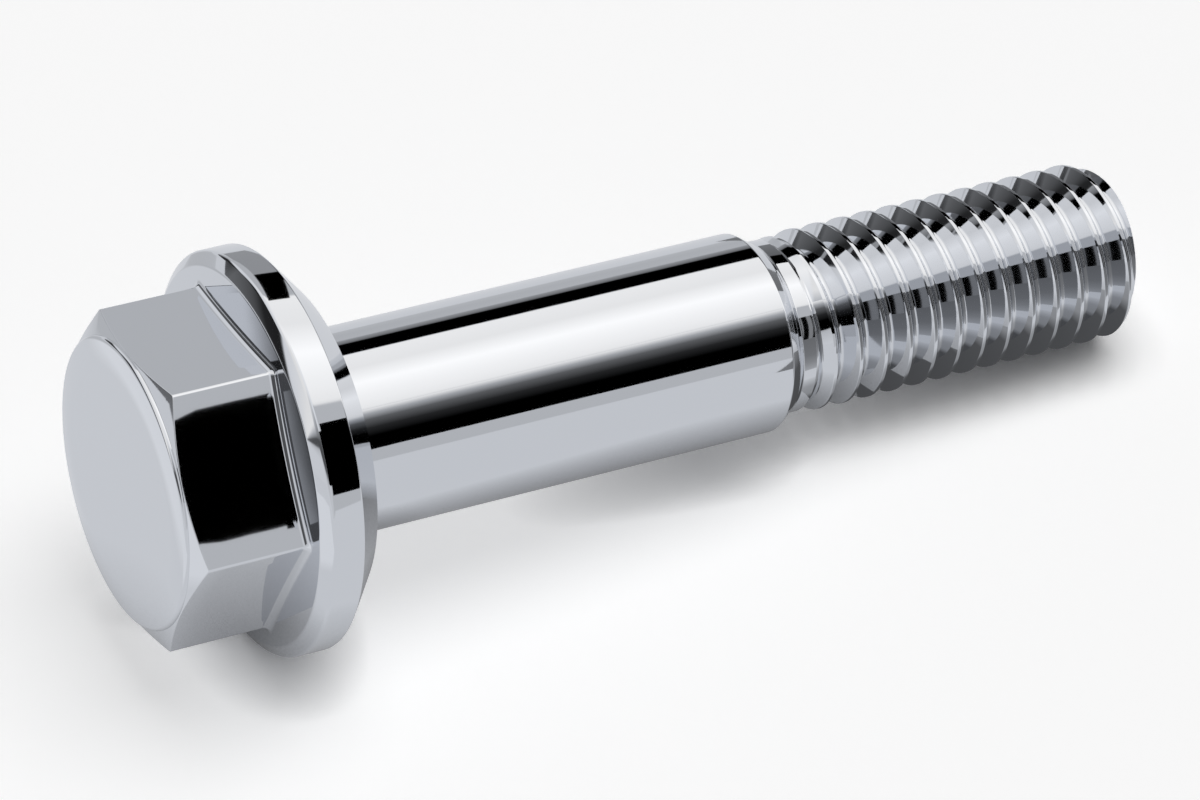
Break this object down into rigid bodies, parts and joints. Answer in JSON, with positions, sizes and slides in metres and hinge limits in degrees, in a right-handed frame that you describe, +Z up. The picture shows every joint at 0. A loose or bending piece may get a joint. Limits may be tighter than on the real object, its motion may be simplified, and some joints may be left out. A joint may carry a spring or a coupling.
{
  "type": "pinch bolt",
  "caption": "Flanged hexagon-head pinch bolt with a thick fitted shank and a right-hand metric thread, lying on its side, that squeezes a split clamp shut.",
  "frame": {"origin": "middle of the bounding box on the surface that the bolt lies on", "axes": "+X from the head to the tip, +Y to the left of that, +Z up; the bolt's own axis leans about 7 degrees nose down from +X, because the collar is wider than the thread"},
  "size_m": [0.0486, 0.0176, 0.0176],
  "materials": {
    "chrome": "bright chrome plate over polished steel, mirror smooth"
  },
  "bodies": {
    "root": {"bolt": "chrome"}
  },
  "joints": []
}
